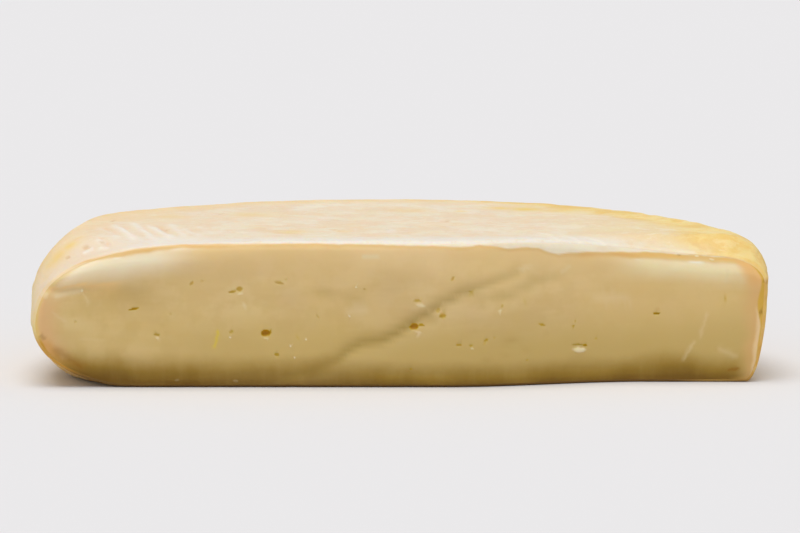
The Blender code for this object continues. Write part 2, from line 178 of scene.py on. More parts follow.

# flakes that stand a little proud of the paste: x, z, half length, half height, height, tilt
# and how pale they are
# their paleness is partly painted highlight, most of all near the top edge at the right
FLAKES = (
    (5.1, 20.9, 1.2, 0.42, 0.16, -8, 0.55), (3.3, 21.8, 0.45, 0.3, 0.1, -20, 0.5),
    (24.9, 19.3, 0.5, 0.28, 0.18, 15, 0.7), (18.0, 9.9, 0.5, 0.26, 0.16, 0, 0.5),
    (-60.4, 12.7, 0.6, 0.22, 0.14, 0, 0.6), (-39.7, 23.7, 0.75, 0.28, 0.12, 10, 0.45),
    (45.0, 8.7, 1.75, 0.6, 0.45, -4, 0.8), (-33.3, 12.5, 0.7, 0.22, 0.1, 5, 0.45),
    (4.6, 14.0, 0.9, 0.3, 0.12, -12, 0.4), (-79.2, 24.4, 0.34, 0.34, 0.2, 0, 0.9),
    (-38.6, 20.6, 0.45, 0.4, 0.12, 0, 0.4),
    (-10.6, 19.6, 3.2, 1.6, 0.1, 10, 0.2), (31.0, 29.8, 2.2, 0.6, 0.1, 15, 0.25),
    (-41.1, 1.7, 0.7, 0.38, 0.12, 0, 0.12), (-55.7, 1.9, 0.55, 0.32, 0.12, 10, 0.1),
    (74.6, 32.1, 0.55, 0.22, 0.15, -5, 0.9), (78.3, 31.2, 0.7, 0.24, 0.15, -12, 0.8),
    (-88.2, 23.3, 0.9, 0.9, 0.1, 20, 0.3), (53.5, 21.5, 5.0, 1.6, 0.08, -8, 0.18),
)

# crumbs no wider than a grain of salt: x, z, radius
CRUMBS = (
    (-42.3, 12.7, 0.26), (-23.4, 12.3, 0.24), (-27.4, 14.9, 0.2), (-12.6, 18.1, 0.24),
    (-12.8, 18.6, 0.2), (-15.5, 13.5, 0.24), (-26.3, 7.7, 0.22), (-10.9, 25.4, 0.22),
    (-27.3, 10.6, 0.24),
)

# pale streaks, dry smears and one painted highlight along the facet under the left hollow: x and z of both
# ends, half width and strength
STREAKS = (
    (-9.9, 33.0, -4.6, 33.0, 0.6, 0.95), (39.8, 28.1, 43.0, 30.3, 0.6, 0.4),
    (77.6, 18.6, 75.2, 10.6, 0.5, 0.34), (74.6, 11.1, 71.0, 5.0, 0.45, 0.42),
    (73.3, 10.0, 71.1, 5.7, 0.3, 0.22), (82.6, 29.4, 81.6, 25.0, 0.45, 0.4),
    (79.6, 8.8, 85.4, 6.4, 0.8, 0.34), (-79.3, 24.2, -77.0, 21.0, 0.35, 0.35),
    (-87.0, 19.5, -82.8, 16.4, 0.4, 0.25), (-86.8, 23.0, -78.4, 24.7, 0.75, 0.95),
    (-80.5, 12.4, -73.0, 12.0, 0.5, 0.2),
)

# the yellow fleck, as a streak
FLECK = ((-45.1, 15.1, -46.2, 9.6, 0.42, 1.0),)

# amber marks where rind shows at the ends of the face: x and z of both ends, half width, strength
AMBERS = (
    (-87.0, 10.6, -78.0, 4.4, 1.2, 0.42), (-83.4, 7.9, -78.8, 4.8, 0.8, 0.55),
    (-89.8, 13.6, -88.2, 12.2, 0.6, 0.4), (69.3, 33.4, 70.5, 31.8, 0.32, 0.6),
    (82.0, 2.9, 86.0, 3.7, 0.42, 0.7), (90.3, 17.9, 91.4, 17.9, 0.6, 0.65),
    (91.4, 26.3, 91.6, 25.4, 0.45, 0.35),
)

# ---------------------------------------------------------------- marks on the rind

# ridges and grooves left by the rack on the top rind: x and y of both ends, half width, strength
RIDGES = (
    (-78.3, 37.0, -69.8, 8.9, 1.1, 0.65), (-75.3, 43.0, -65.4, 6.5, 1.35, 1.0),
    (-70.6, 47.0, -60.8, 7.0, 1.25, 0.95), (-65.9, 40.0, -56.2, 8.0, 1.5, 0.86),
    (-60.6, 45.0, -53.6, 11.0, 1.15, 0.7), (-57.4, 35.0, -49.4, 12.0, 1.3, 0.52),
    (-52.2, 38.0, -46.6, 15.0, 1.1, 0.34), (-48.9, 28.0, -43.0, 16.0, 1.2, 0.26),
    (-79.6, 6.2, -76.4, 7.2, 0.8, 0.9), (-75.6, 6.6, -72.3, 4.8, 0.9, 0.9),
    (-76.6, 13.0, -74.0, 9.8, 0.8, 0.8),
)
GROOVES = (
    (-76.0, 14.4, -72.0, 5.6, 0.85, 0.8), (-76.8, 37.0, -71.6, 15.0, 1.0, 0.9),
    (-73.4, 40.0, -67.0, 14.0, 1.0, 1.0), (-68.6, 41.0, -62.2, 14.0, 1.0, 1.0),
    (-63.6, 41.0, -58.0, 16.0, 1.0, 0.9), (-59.4, 39.0, -54.6, 18.0, 0.9, 0.7),
    (-55.2, 34.0, -51.2, 18.0, 0.85, 0.55), (-80.0, 9.3, -77.4, 8.4, 0.8, 0.75),
    (-51.7, 35.5, -45.4, 27.4, 0.5, 0.45), (-17.6, 28.2, -13.8, 20.8, 0.8, 0.7),
    (-3.0, 33.0, 2.5, 30.0, 0.6, 0.35), (-40.0, 44.0, -34.5, 41.0, 0.7, 0.35),
)
RACK_DEPTH = 0.55 * MM

# thin raised arcs of the top rind, as points along each
ARCS = (
    ((29.5, 26.0), (34.9, 21.2), (38.6, 12.0), (41.0, 2.0)),
    ((45.6, 13.6), (49.8, 10.7), (54.6, 4.2)), ((40.5, 15.5), (44.4, 9.5), (46.6, 3.5)),
)

# warmer patches of the rind: x, y, reach, strength
BLUSHES = (
    (-86.4, 11.4, 3.4, 0.75), (-83.0, 13.6, 2.6, 0.8), (-80.6, 18.0, 1.6, 0.5), (27.4, 83.2, 4.2, 0.9),
    (34.5, 81.0, 5.5, 1.0), (43.5, 78.0, 6.0, 0.8), (16.5, 74.4, 1.8, 0.7), (-28.0, 22.0, 4.5, 0.5),
    (-40.0, 63.0, 5.0, 0.45), (-62.0, 60.0, 5.0, 0.4), (2.0, 76.0, 6.0, 0.35), (-14.0, 24.0, 2.5, 0.4),
)

# pits of the top rind: x, y, radius, depth
PITS = (
    (-74.9, 10.2, 0.7, 0.3), (-79.1, 9.3, 0.9, 0.2), (-83.5, 8.0, 0.6, 0.3), (-75.5, 50.0, 0.7, 0.3),
    (-60.0, 30.0, 0.6, 0.3), (12.0, 48.0, 0.7, 0.3), (47.0, 62.0, 0.8, 0.4), (-30.0, 52.0, 0.6, 0.3),
    (68.0, 34.0, 0.8, 0.4), (22.0, 30.0, 0.6, 0.3), (-48.0, 66.0, 0.7, 0.3), (5.0, 18.0, 0.5, 0.2),
)

# low steps in the shoulders: x, y, reach, depth
STEPS = (
    (60.0, 64.0, 3.5, 0.6), (66.0, 59.5, 3.0, 0.8), (73.0, 50.5, 3.2, 0.7), (80.5, 37.0, 4.0, 0.6),
    (83.5, 27.0, 3.0, 0.5), (52.0, 70.5, 3.0, 0.5), (-79.0, 33.0, 3.5, 0.5), (-70.0, 52.0, 4.0, 0.4),
    (87.0, 14.0, 2.6, 0.4), (76.0, 24.0, 3.2, 0.35), (69.0, 40.0, 3.0, 0.35),
)

# dents of the rind: the size, depth and seed of the broad and the small ones, then the depth of
# its wrinkles and of the low swells of its top
LUMPS = (12.0 * MM, 0.55 * MM, 1)
DENTS = (4.5 * MM, 0.45 * MM, 2)
WRINKLE_DEPTH = 0.18 * MM
SWELL_DEPTH = 0.14 * MM

# lattice: spaces along x, y and z, and how strongly they crowd towards the ends
SPACES = (300, 64, 52)
CROWDING = (0.55, 0.8, 0.75)
PROFILE_ANGLE = math.radians(45.0)      # share of the shoulder and foot on the rind's side

# where the cut face is finer: cuts of each edge, the half length in mm from which a mark
# doesn't need them, and how far they go round an eye and a streak
FINE_CUTS = 3
COARSE_MARK = 2.0
EYE_MARGIN = 0.9
STREAK_MARGIN = 0.7

# ---------------------------------------------------------------- where the camera stands

FRAME_WIDTH = 800               # pixels
LENS_PIXELS = 3245.0            # focal length in the same pixels
SENSOR = 36.0                   # width in millimetres
CAMERA_DISTANCE = 0.8           # metres in front of the wheel's cut
CAMERA_HEIGHT = 0.1272
CAMERA_PITCH = 0.1202           # radians downwards
FLOOR_SIZE = 8.0                # half its width in metres


def smooth(start, end, value):
    """Go smoothly from 0 at start to 1 at end; start may be the larger."""
    t = np.clip((value - start) / (end - start), 0.0, 1.0)
    return t * t * (3.0 - 2.0 * t)


def hill(value, centre, spread):
    """1 at the centre, falling away on both sides."""
    return np.exp(-((value - centre) / spread) ** 2)


def dome(ring):
    """Height of a dome of unit height where ring is the squared distance from its middle."""
    return np.sqrt(np.clip(1.0 - ring, 0.0, 1.0))


def near_cut(x, y):
    """1 on the cut face, falling to 0 a little way behind it."""
    right = smooth(*FADE_SPAN, x)
    reach = CUT_FADE["left"] * (1.0 - right) + CUT_FADE["right"] * right
    return 1.0 - smooth(0.0, 1.0, y / reach)


def section(x, y, far, at_cut):
    """Blend one measure of the rind's section round the wheel and towards the cut."""
    angle = np.degrees(np.arctan2(y - CUT_OFFSET, x))
    angle = np.where(angle < -90.0, angle + 360.0, angle)
    away = np.interp(angle, RIND_ANGLES, [far[side] for side in RIND_SIDES])
    right = smooth(*SECTION_SPAN, x)
    here = at_cut["left"] * (1.0 - right) + at_cut["right"] * right
    share = near_cut(x, y)
    return away * (1.0 - share) + here * share


def top_height(x, y):
    """Height of the top rind, which slumps at both ends of the cut."""
    droop = DROOP_RIGHT * smooth(*DROOP_RIGHT_SPAN, x) + DROOP_LEFT * smooth(*DROOP_LEFT_SPAN, x)
    rise = BACK_RISE - BACK_TILT * x / WHEEL_RADIUS
    return HEIGHT - near_cut(x, y) * droop + rise * smooth(0.0, BACK_RISE_REACH, y)


def plan(radius, a, b):
    """Place the unit square (a from -1 to 1, b from 0 to 1) on a circle cut by a chord."""
    deep = radius + CUT_OFFSET
    y = deep * b * np.sqrt(1.0 - a * a / 2.0)
    x = a * np.sqrt(1.0 - b * b / 2.0) * deep * np.sqrt((radius - CUT_OFFSET + y) / (deep + y))
    return x, y


def rind(a, b, c):
    """Position on the rind for lattice values a, b and c, with the heights of top and bottom."""
    turn = PROFILE_ANGLE * (2.0 * c - 1.0)
    x, y = plan(WHEEL_RADIUS, a, b)
    shoulder = section(x, y, SHOULDER_FAR, SHOULDER_AT_CUT)
    foot = section(x, y, FOOT_FAR, FOOT_AT_CUT)
    widest = section(x, y, WIDEST_FAR, WIDEST_AT_CUT)
    inset = np.where(turn >= 0.0, shoulder, foot) * (1.0 - np.cos(turn))
    x, y = plan(WHEEL_RADIUS - inset, a, b)
    height = top_height(x, y)
    out = np.hypot(x, y - CUT_OFFSET) - WHEEL_RADIUS
    above = np.sqrt(1.0 - np.clip(out / shoulder + 1.0, 0.0, 1.0) ** 2)
    below = np.sqrt(1.0 - np.clip(out / foot + 1.0, 0.0, 1.0) ** 2)
    top = widest + (height - widest) * above
    bottom = widest - widest * below
    side = widest + np.where(turn >= 0.0, height - widest, widest) * np.sin(turn)
    return x, y, top, bottom, side


def relief(x, z):
    """Depth of the cut face's waves and undercut at x and z."""
    depth = np.zeros_like(x)
    for wave_x, wave_z, long, high, amount in WAVES:
        depth += amount * np.exp(-((x - wave_x) / long) ** 2 - ((z - wave_z) / high) ** 2)
    depth += UNDERCUT * hill(z, UNDERCUT_AT, UNDERCUT_SPREAD) * (1.0 - smooth(*UNDERCUT_END, x))
    return depth


def roll(x, below_top):
    """Height of the roll under the rind at x and at a depth below the cut's top edge."""
    ends = smooth(*ROLL_LEFT_SPAN, x) + smooth(*ROLL_RIGHT_SPAN, x)
    return ROLL * ends * hill(below_top, ROLL_AT, ROLL_SPREAD)


def shape(a, b, c):
    """Place lattice points of the cheese: a left to right, b front to back, c bottom to top.

    With the spots come, in mm, the depth under the cut's top edge, the gaps to its left and
    right edges and to its nearest edge, and the distance behind the cut.
    """
    ones, zeros = np.ones_like(a), np.zeros_like(a)
    x, y, top, bottom, side = rind(a, b, c)
    z = np.where(c >= 1.0, top, np.where(c <= 0.0, bottom, side))

    # the cut face is filled between its own top and bottom edges
    _, _, upper, _, _ = rind(a, zeros, ones)
    _, _, _, lower, _ = rind(a, zeros, zeros)
    fractions = []
    for end in (-ones, ones):
        heights = [rind(end, zeros, level)[4] for level in (zeros, c, ones)]
        fractions.append((heights[1] - heights[0]) / (heights[2] - heights[0]))
    fraction = fractions[0] * (1.0 - a) / 2.0 + fractions[1] * (1.0 + a) / 2.0
    on_cut = b <= 0.0
    z = np.where(on_cut, lower + (upper - lower) * fraction, z)

    # round the edge between cut and rind: the section shrinks towards the cut
    edge = np.clip(1.0 - y / EDGE_ROUND, 0.0, 1.0) ** 2 * EDGE_SHARE * EDGE_ROUND
    half = HEIGHT / 2.0
    x = x * (1.0 - edge / WHEEL_RADIUS)
    z = half + (z - half) * (1.0 - edge / half)
    left = rind(-ones, zeros, c)[0]
    right = rind(ones, zeros, c)[0]
    gaps = [upper - z, z - lower, x - left, right - x]
    gaps = [np.where(on_cut, np.maximum(gap - EDGE_SHARE * EDGE_ROUND, 0.0), 0.0) for gap in gaps]
    inside = np.minimum.reduce(gaps)
    give = np.clip(1.0 - inside / EDGE_ROUND, 0.0, 1.0) ** 2 * EDGE_SHARE * EDGE_ROUND
    deeper = give * np.clip(1.0 - y / EDGE_REACH, 0.0, 1.0) ** 2
    carved = relief(x, z) - roll(x, np.maximum(upper - z, 0.0))
    deeper += carved * np.clip(1.0 - y / RELIEF_REACH, 0.0, 1.0) ** 2

    # bulges of the plan, then the set-back right part of the cut
    angle = np.arctan2(y - CUT_OFFSET, x)
    angle = np.where(angle < -math.pi / 2.0, angle + 2.0 * math.pi, angle)
    scale = 1.0 + sum(size * np.exp(-((angle - at) / spread) ** 2) for at, spread, size in LOBES)
    places = {
        "on_cut": on_cut,
        "below_top": gaps[0] / MM,
        "left_gap": gaps[2] / MM,
        "right_gap": gaps[3] / MM,
        "edge_gap": inside / MM,
        "behind": np.where(on_cut, 0.0, y) / MM,
        "rim_gap": (WHEEL_RADIUS - np.hypot(x, y - CUT_OFFSET)) / MM,
    }
    height, high, amount, wide, back = PRESS
    pressed = np.clip(1.0 - (x + WHEEL_RADIUS) / wide, 0.0, 1.0) * np.clip(1.0 - y / back, 0.0, 1.0)
    x = x * scale + amount * hill(z, height, high) * pressed
    y = y * scale + deeper
    y = y + SET_BACK * smooth(*SET_BACK_SPAN, x) * np.clip(1.0 - y / SET_BACK_REACH, 0.0, 1.0) ** 2
    return np.stack([x, y, z], axis=1), places


def noise_at(spots, size, seed):
    """Smooth noise from -1 to 1 whose lumps are about size across."""
    shift = Vector((seed * 7.31, seed * 3.17, seed * 5.73))
    return np.array([noise.noise(Vector(p) / size + shift) for p in spots])


def turned(x, z, centre_x, centre_z, tilt):
    """Offsets from a centre, along and across a tilted line."""
    turn = math.radians(tilt)
    dx, dz = x - centre_x, z - centre_z
    return dx * math.cos(turn) + dz * math.sin(turn), dz * math.cos(turn) - dx * math.sin(turn)


def along_path(x, z, points):
    """Signed distance from a path (positive above it) and share of its length."""
    points = np.array(points)
    best = np.full(x.shape, np.inf)
    signed = np.zeros(x.shape)
    share = np.zeros(x.shape)
    last = len(points) - 1
    for i in range(last):
        start, run = points[i], points[i + 1] - points[i]
        px, pz = x - start[0], z - start[1]
        t = np.clip((px * run[0] + pz * run[1]) / np.dot(run, run), 0.0, 1.0)
        dx, dz = px - t * run[0], pz - t * run[1]
        distance = np.hypot(dx, dz)
        nearer = distance < best
        best = np.where(nearer, distance, best)
        signed = np.where(nearer, distance * np.sign(run[0] * dz - run[1] * dx), signed)
        share = np.where(nearer, (i + t) / last, share)
    return signed, share


def crease_mask(x, z, points):
    """Strength of a crease: fullest along its line, falling faster below it than above."""
    signed, share = along_path(x, z, points)
    width = np.where(signed > 0.0, CREASE_ABOVE, CREASE_BELOW)
    return hill(signed, 0.0, width) * np.sin(np.pi * (0.18 + 0.7 * share))


def streaks_mask(x, z, streaks):
    """Strongest of several thin streaks, each given by its ends, half width and strength."""
    strongest = np.zeros(x.shape)
    for start_x, start_z, end_x, end_z, width, strength in streaks:
        signed, share = along_path(x, z, ((start_x, start_z), (end_x, end_z)))
        ends = smooth(-0.02, 0.2, share) * (1.0 - smooth(0.8, 1.02, share))
        strongest = np.maximum(strongest, hill(signed, 0.0, width) * ends * strength)
    return strongest


def edge_marks(spots, places):
    """Masks of the cut's top edge: the white lip, the orange line under it, the pale rolls and the painted
    highlight along their crests; lip and rolls are partly painted highlight.
    """
    x = spots[:, 0] / MM
    past = np.where(places["on_cut"], places["below_top"], -places["behind"])
    left = 1.0 - smooth(*LEFT_ROLL_END, x)
    right = smooth(*RIGHT_ROLL_START, x)
    hem = np.interp(x, *np.array(LIP).T)
    hem += sum(amount * noise_at(spots, size, seed) for size, amount, seed in LIP_WAVES)
    below = past - hem
    broken = np.clip(0.75 + 0.9 * noise_at(spots, 6.0 * MM, 12), 0.25, 1.0)
    far_right = smooth(*FAR_RIGHT, x)
    line_at = 0.35 + 0.5 * smooth(-78.0, -68.0, x) - 0.2 * smooth(-68.0, -60.0, x) * (1.0 - right)
    line_at -= 0.2 * far_right
    line_wide = 0.28 + 0.24 * smooth(-78.0, -66.0, x) + 0.2 * smooth(38.0, 50.0, x) - 0.3 * far_right
    high = smooth(22.0 * MM, 26.0 * MM, spots[:, 2])
    ends = sum(smooth(a, b, x) * (1.0 - smooth(c, d, x)) for a, b, c, d in LINE_SPANS)
    start = line_at + 0.45 + 0.45 * right
    reach = PILLOW_REACH - 1.2 * right + 2.0 * (1.0 - smooth(-74.0, -64.0, x))
    fade = smooth(0.0, 1.0, (below - start - PILLOW_FULL) / (reach - PILLOW_FULL))
    pillow_tone_and_highlight = smooth(-0.4, 0.8, below - start) * (1.0 - fade)
    # painted highlight along the crest of each roll
    painted_gleam = hill(below, start + 0.35, 0.28) * np.clip(noise_at(spots, 4.0 * MM, 13) * 2.5, 0.0, 1.0)
    return {
        "bare": smooth(-0.25, 0.3, below) * np.where(places["on_cut"], 1.0, high),
        "line": hill(below, line_at, line_wide) * ends * broken * high,
        "pillow_tone_and_highlight": pillow_tone_and_highlight * np.maximum(left, right) * smooth(0.0, 5.0, places["left_gap"]),
        "painted_gleam": painted_gleam * np.maximum(left * smooth(-80.0, -74.0, x), right),
        "deep": smooth(1.0, 4.0, below),
        "tan": np.exp(-np.maximum(below, 0.0) / 9.0) * (1.0 - 0.55 * np.maximum(left, right)),
        "verge": (1.0 - smooth(0.3, 1.2, below)) * smooth(-88.0, -72.0, x),
    }


def face_marks(x, z, places):
    """Depth of what only the cut face has, and the masks that colour it; all in mm."""
    spots = np.stack([x, 0.0 * x, z], axis=1)
    warp_x = noise_at(spots, EYE_WARP_SIZE, 3)
    warp_z = noise_at(spots, EYE_WARP_SIZE, 4)
    masks = {}
    depth = np.zeros(x.shape)

    def ring_round(mark_x, mark_z, long, high, tilt):
        """Squared distance from a mark with an uneven rim, which lies at 1."""
        reach = EYE_WARP * math.sqrt(long * high)
        along, up = turned(x + reach * warp_x, z + reach * warp_z, mark_x, mark_z, tilt)
        return (along / long) ** 2 + (up / high) ** 2

    # eyes with uneven rims
    eye = np.zeros(x.shape)
    for eye_x, eye_z, long, high, deep, tilt, dark in EYES:
        ring = ring_round(eye_x, eye_z, long, high, tilt)
        depth = np.maximum(depth, dome(ring) * deep * EYE_DEPTH)
        eye = np.maximum(eye, (1.0 - smooth(0.4, 1.5, ring)) * dark)
    masks["eye"] = eye

    # flakes and crumbs stand a little proud
    flake_and_glint = np.zeros(x.shape)
    for flake_x, flake_z, long, high, tall, tilt, pale in FLAKES:
        ring = ring_round(flake_x, flake_z, long, high, tilt)
        depth -= dome(ring) * tall * (1.0 - eye)
        flake_and_glint = np.maximum(flake_and_glint, (1.0 - smooth(0.2, 1.6, ring)) * (1.0 - eye) * pale)
    for crumb_x, crumb_z, radius in CRUMBS:
        away = np.hypot(x - crumb_x, z - crumb_z) / radius
        depth -= dome(away ** 2) * radius
        flake_and_glint = np.maximum(flake_and_glint, 1.0 - smooth(0.4, 1.3, away))
    masks["flake_and_glint"] = flake_and_glint

    # creases, the hollow under the left roll, dimples; the crease and dimple masks carry painted shade, the
    # ledge below the crease a painted highlight
    crease = crease_mask(x, z, CREASE)
    branch = crease_mask(x, z, BRANCH)
    signed, share = along_path(x, z, HOLLOW)
    signed = signed + 0.3 * warp_z
    width = np.where(signed > 0.0, 0.5, 0.7 + 1.6 * share)
    hollow = hill(signed, 0.0, width) * (1.0 - smooth(0.75, 1.0, share))
    dimple_shade = np.zeros(x.shape)
    for dimple_x, dimple_z, long, high, deep, tilt in DIMPLES:
        along, up = turned(x, z, dimple_x, dimple_z, tilt)
        mark = np.exp(-(along / long) ** 2 - (up / high) ** 2)
        depth += mark * deep
        dimple_shade = np.maximum(dimple_shade, mark * deep / DIMPLE_FULL)
    depth += CREASE_DEPTH * crease + BRANCH_DEPTH * branch + HOLLOW_DEPTH * hollow
    # painted shade along the crease and its branch
    masks["shade"] = np.maximum(crease, 0.4 * branch)
    # painted highlight on the ledge below the crease
    signed, share = along_path(x, z, CREASE)
    masks["ledge_highlight"] = hill(signed, -2.6, 1.6) * np.sin(np.pi * (0.1 + 0.8 * share))
    masks["hollow"] = hollow
    masks["dimple_shade"] = dimple_shade

    # streaks and the yellow fleck
    masks["streak_and_gleam"] = streaks_mask(x + 0.4 * warp_x, z, STREAKS)
    masks["amber"] = streaks_mask(x + 0.3 * warp_x, z + 0.3 * warp_z, AMBERS)
    masks["fleck"] = streaks_mask(x + 0.3 * warp_x, z, FLECK)
    depth += 0.07 + 0.07 * noise_at(spots, 7.0, 6) + 0.03 * noise_at(spots, 2.2, 7)
    return depth * smooth(0.0, 0.8, places["edge_gap"]), masks


def crowd(value, strength):
    """Crowd evenly spaced values between 0 and 1 towards both ends."""
    return value - strength * np.sin(2.0 * math.pi * value) / (2.0 * math.pi)


def is_detailed(x, z):
    """Where the cut face carries marks finer than the lattice."""
    near = np.zeros(x.shape, dtype=bool)
    grains = tuple((mark_x, mark_z, radius, radius) for mark_x, mark_z, radius in CRUMBS)
    for mark_x, mark_z, long, high in [mark[:4] for mark in EYES + FLAKES + grains]:
        if long < COARSE_MARK:
            near |= np.hypot(x - mark_x, z - mark_z) < max(long, high) + EYE_MARGIN
    for start_x, start_z, end_x, end_z, width in [mark[:5] for mark in STREAKS + AMBERS + FLECK]:
        signed, _ = along_path(x, z, ((start_x, start_z), (end_x, end_z)))
        near |= np.abs(signed) < width + STREAK_MARGIN
    return near


def make_lattice():
    """A closed box lattice in the unit cube, finer round the small marks of the cut face."""
    bm = bmesh.new()
    bmesh.ops.create_cube(bm, size=1.0, matrix=Matrix.Translation((0.5, 0.5, 0.5)))
    for axis, count in enumerate(SPACES):
        along = [e for e in bm.edges if abs((e.verts[0].co - e.verts[1].co)[axis]) > 0.5]
        bmesh.ops.subdivide_edges(bm, edges=along, cuts=count - 1, use_grid_fill=True)
    unit = np.array([v.co[:] for v in bm.verts])
    unit = np.round(unit * SPACES) / SPACES
    unit = np.stack([crowd(unit[:, axis], CROWDING[axis]) for axis in range(3)], axis=1)
    for v, spot in zip(bm.verts, unit):
        v.co = spot

    spots, places = shape(2.0 * unit[:, 0] - 1.0, unit[:, 1], unit[:, 2])
    near = is_detailed(spots[:, 0] / MM, spots[:, 2] / MM) & places["on_cut"]
    bm.verts.index_update()
    around = {e for f in bm.faces if all(near[v.index] for v in f.verts) for e in f.edges}
    bmesh.ops.subdivide_edges(bm, edges=list(around), cuts=FINE_CUTS, use_grid_fill=True)
    return bm


def rind_marks(spots, normals, places):
    """Depth of the rind's relief and the masks that colour it; depth in metres."""
    x, y = spots[:, 0] / MM, spots[:, 1] / MM
    z = spots[:, 2]
    up = normals[:, 2]
    on_rind = 1.0 - places["on_cut"]
    top = smooth(0.25, 0.7, up) * on_rind

    # ridges and grooves of the rack, broken up and wandering a little
    wander = 0.5 * noise_at(spots, 7.0 * MM, 9)
    uneven = np.clip(0.9 + 0.8 * noise_at(spots, 5.0 * MM, 8), 0.35, 1.0)
    ridge = streaks_mask(x + wander, y, RIDGES) * top * uneven
    valley = streaks_mask(x + wander, y, GROOVES) * top * uneven * (1.0 - 0.8 * ridge)
    arc = np.zeros(x.shape)
    for points in ARCS:
        signed, share = along_path(x, y, points)
        arc = np.maximum(arc, hill(signed, 0.0, 0.55) * np.sin(np.pi * (0.08 + 0.86 * share)) * top)

    pit = np.zeros(x.shape)
    depth = np.zeros(x.shape)
    for pit_x, pit_y, radius, deep in PITS:
        away = np.hypot(x - pit_x, y - pit_y) / radius
        depth = np.maximum(depth, np.clip(1.0 - away ** 2, 0.0, 1.0) * top * deep * MM)
        pit = np.maximum(pit, (1.0 - smooth(0.4, 1.3, away)) * top)
    for step_x, step_y, wide, deep in STEPS:
        away = np.hypot(x - step_x, y - step_y) / wide
        depth += np.exp(-away ** 2) * deep * MM * on_rind
    blush = np.zeros(x.shape)
    for blush_x, blush_y, wide, strength in BLUSHES:
        away = np.hypot(x - blush_x + 3.0 * wander, y - blush_y) / wide
        blush = np.maximum(blush, np.exp(-away ** 2) * strength * on_rind)

    # dents of the side, the shoulder and the underside; they only go inwards
    away = smooth(0.0, 5.0, places["behind"]) * on_rind
    flat_under = smooth(0.1 * MM, 2.5 * MM, z)
    dents = sum(deep * np.clip(noise_at(spots, size, seed), 0.0, 1.0) for size, deep, seed in (LUMPS, DENTS))
    wrinkles = 0.5 - np.abs(noise_at(spots * (0.5, 0.5, 1.6), 3.2 * MM, 10))
    wrinkles = np.clip(wrinkles * 2.0, 0.0, 1.0)
    side = np.maximum(1.0 - top, smooth(14.0, 4.0, places["rim_gap"]) * smooth(30.0, 55.0, x))
    depth += away * flat_under * (dents * (0.2 + 0.8 * side) + WRINKLE_DEPTH * wrinkles * side)
    swells = 0.5 + 0.5 * noise_at(spots, 6.0 * MM, 14)
    depth += (RACK_DEPTH * (0.5 + valley - 0.5 * ridge) * smooth(-38.0, -56.0, x)
              + SWELL_DEPTH * (swells - arc)) * top * smooth(0.0, 4.0, places["behind"])
    masks = {"valley": valley, "ridge": ridge, "arc": arc, "pit": pit, "blush": blush, "up": up,
             "wrinkle": wrinkles * side}
    return np.maximum(depth, 0.0) * on_rind, masks


def add_object(name, data):
    made = bpy.data.objects.new(name, data)
    bpy.context.scene.collection.objects.link(made)
    return made


def make_cheese(low, high):
    """The whole cheese as one closed piece, with its masks stored as attributes."""
    bm = make_lattice()
    unit = np.array([v.co[:] for v in bm.verts])
    spots, places = shape(2.0 * unit[:, 0] - 1.0, unit[:, 1], unit[:, 2])
    nicks = np.clip(noise_at(spots * (1.0, 0.0, 0.5), NICK_SIZE, 15) * 1.6, 0.0, 1.0)
    nicks *= smooth(NICK_HEIGHT, 0.0, spots[:, 2]) * np.clip(1.0 - spots[:, 1] / NICK_REACH, 0.0, 1.0) ** 2
    spots[:, 1] += NICK * nicks
    middle = (spots.min(axis=0) + spots.max(axis=0)) / 2.0
    shift = np.array([(low[0] + high[0]) / 2.0 - middle[0], (low[1] + high[1]) / 2.0 - middle[1], low[2]])
    mesh = bpy.data.meshes.new("cheese_half")
    bm.to_mesh(mesh)
    bm.free()
    mesh.vertices.foreach_set("co", spots.astype(np.float32).ravel())
    mesh.update()
    normals = np.zeros(len(spots) * 3, dtype=np.float32)
    mesh.vertices.foreach_get("normal", normals)
    normals = normals.reshape(-1, 3).astype(float)

    depth, masks = rind_marks(spots, normals, places)
    face = places["on_cut"]
    face_places = {name: values[face] for name, values in places.items()}
    face_depth, face_masks = face_marks(spots[face, 0] / MM, spots[face, 2] / MM, face_places)
    spots[face, 1] += face_depth * MM
    spots -= normals * depth[:, None]
    spots += shift
    mesh.vertices.foreach_set("co", spots.astype(np.float32).ravel())

    masks.update(edge_marks(spots - shift, places))
    for name, values in face_masks.items():
        masks[name] = np.zeros(len(spots))
        masks[name][face] = values
    for name in ("left_gap", "right_gap", "edge_gap", "behind", "rim_gap"):
        masks[name] = places[name]
    for name, values in masks.items():
        layer = mesh.attributes.new(name, "FLOAT", "POINT")
        layer.data.foreach_set("value", values.astype(np.float32))
    mesh.materials.append(make_paste())
    mesh.materials.append(make_rind())
    slots = [0 if all(face[v] for v in p.vertices) else 1 for p in mesh.polygons]
    mesh.polygons.foreach_set("material_index", slots)
    mesh.shade_smooth()
    mesh.update()
    return add_object("cheese_half", mesh), shift


# ---------------------------------------------------------------- materials

GLOW_RADIUS = (1.0, 0.65, 0.35)         # how far red, green and blue light spread inside the cheese


def linear(colour):
    """Blender's linear values of a colour given as 0 to 255 on screen."""
    return tuple(((v / 255.0 + 0.055) / 1.055) ** 2.4 for v in colour)


class Value:
    """A shader socket that Python arithmetic joins to others through Math nodes."""

    def __init__(self, paint, socket):
        self.paint = paint
        self.socket = socket

    def _maths(self, operation, first, second):
        return self.paint.node("ShaderNodeMath", {"operation": operation}, {0: first, 1: second})

    def __add__(self, other):
        return self._maths("ADD", self, other)

    def __sub__(self, other):
        return self._maths("SUBTRACT", self, other)

    def __rsub__(self, other):
        return self._maths("SUBTRACT", other, self)

    def __mul__(self, other):
        return self._maths("MULTIPLY", self, other)

    def ramp(self, start, end, low=0.0, high=1.0):
        """Go smoothly from low to high as the value goes from start to end."""
        return self.paint.node("ShaderNodeMapRange", {"interpolation_type": "SMOOTHSTEP"}, {
            "Value": self, "From Min": start, "From Max": end, "To Min": low, "To Max": high})


